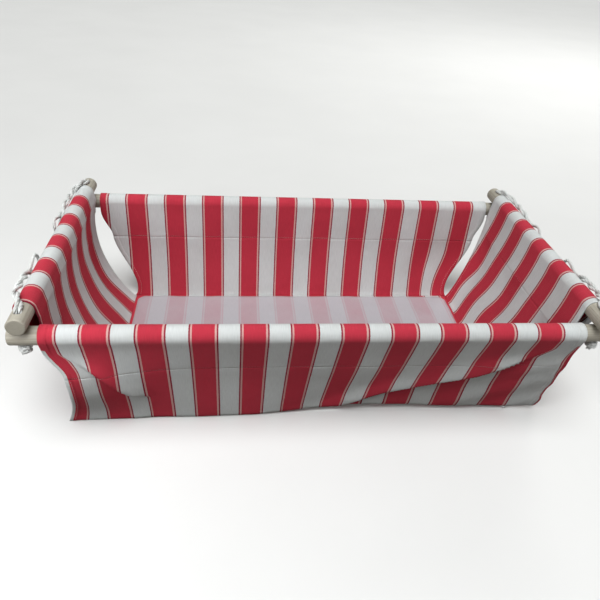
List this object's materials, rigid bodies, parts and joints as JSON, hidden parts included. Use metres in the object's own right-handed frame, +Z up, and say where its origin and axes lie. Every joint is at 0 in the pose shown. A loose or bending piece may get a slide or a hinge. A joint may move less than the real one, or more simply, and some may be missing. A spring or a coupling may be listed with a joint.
{
  "type": "baby hammock",
  "caption": "Striped cloth cradle hung in sewn sleeves from a lashed frame of round wooden rails, with twisted rope slings at its corners and a base that rises as it packs flat.",
  "frame": {"origin": "middle of the rail frame, on the plane where the short rails lie on the long ones", "axes": "+X along the long rails to the right, +Y to the back, +Z up"},
  "size_m": [0.93, 0.486, 0.2653],
  "materials": {
    "rail_wood": "bare sanded wood, slightly greyed",
    "striped_canvas": "woven cotton canvas with red and white stripes",
    "liner_cotton": "thin white cotton sheet",
    "sling_rope": "laid off-white rope"
  },
  "bodies": {
    "frame": {"front_rail": "rail_wood", "back_rail": "rail_wood", "left_rail": "rail_wood", "right_rail": "rail_wood", "front_sleeve": "striped_canvas", "back_sleeve": "striped_canvas", "left_sleeve": "striped_canvas", "right_sleeve": "striped_canvas", "front_panel": "striped_canvas", "back_panel": "striped_canvas", "left_panel": "striped_canvas", "right_panel": "striped_canvas", "front_left_knot": "sling_rope", "back_left_knot": "sling_rope", "front_right_knot": "sling_rope", "back_right_knot": "sling_rope"},
    "base": {"base_panel": "striped_canvas", "base_liner": "liner_cotton"},
    "front_left_sling": {"front_left_sling": "sling_rope"},
    "back_left_sling": {"back_left_sling": "sling_rope"},
    "front_right_sling": {"front_right_sling": "sling_rope"},
    "back_right_sling": {"back_right_sling": "sling_rope"}
  },
  "joints": [
    {"name": "base_lift", "type": "slide", "parent": "frame", "child": "base", "axis": [0, 0, 1], "range_m": [0, 0.12], "deforming": ["front_panel", "back_panel", "left_panel", "right_panel"]},
    {"name": "front_left_sling_raise", "type": "hinge", "parent": "frame", "child": "front_left_sling", "pos_m": [-0.437, -0.223, 0.03145], "axis": [1, 0, 0], "range_deg": [0, 90]},
    {"name": "back_left_sling_raise", "type": "hinge", "parent": "frame", "child": "back_left_sling", "pos_m": [-0.437, 0.223, 0.03145], "axis": [-1, 0, 0], "range_deg": [0, 90]},
    {"name": "front_right_sling_raise", "type": "hinge", "parent": "frame", "child": "front_right_sling", "pos_m": [0.437, -0.223, 0.03145], "axis": [1, 0, 0], "range_deg": [0, 90]},
    {"name": "back_right_sling_raise", "type": "hinge", "parent": "frame", "child": "back_right_sling", "pos_m": [0.437, 0.223, 0.03145], "axis": [-1, 0, 0], "range_deg": [0, 90]}
  ]
}
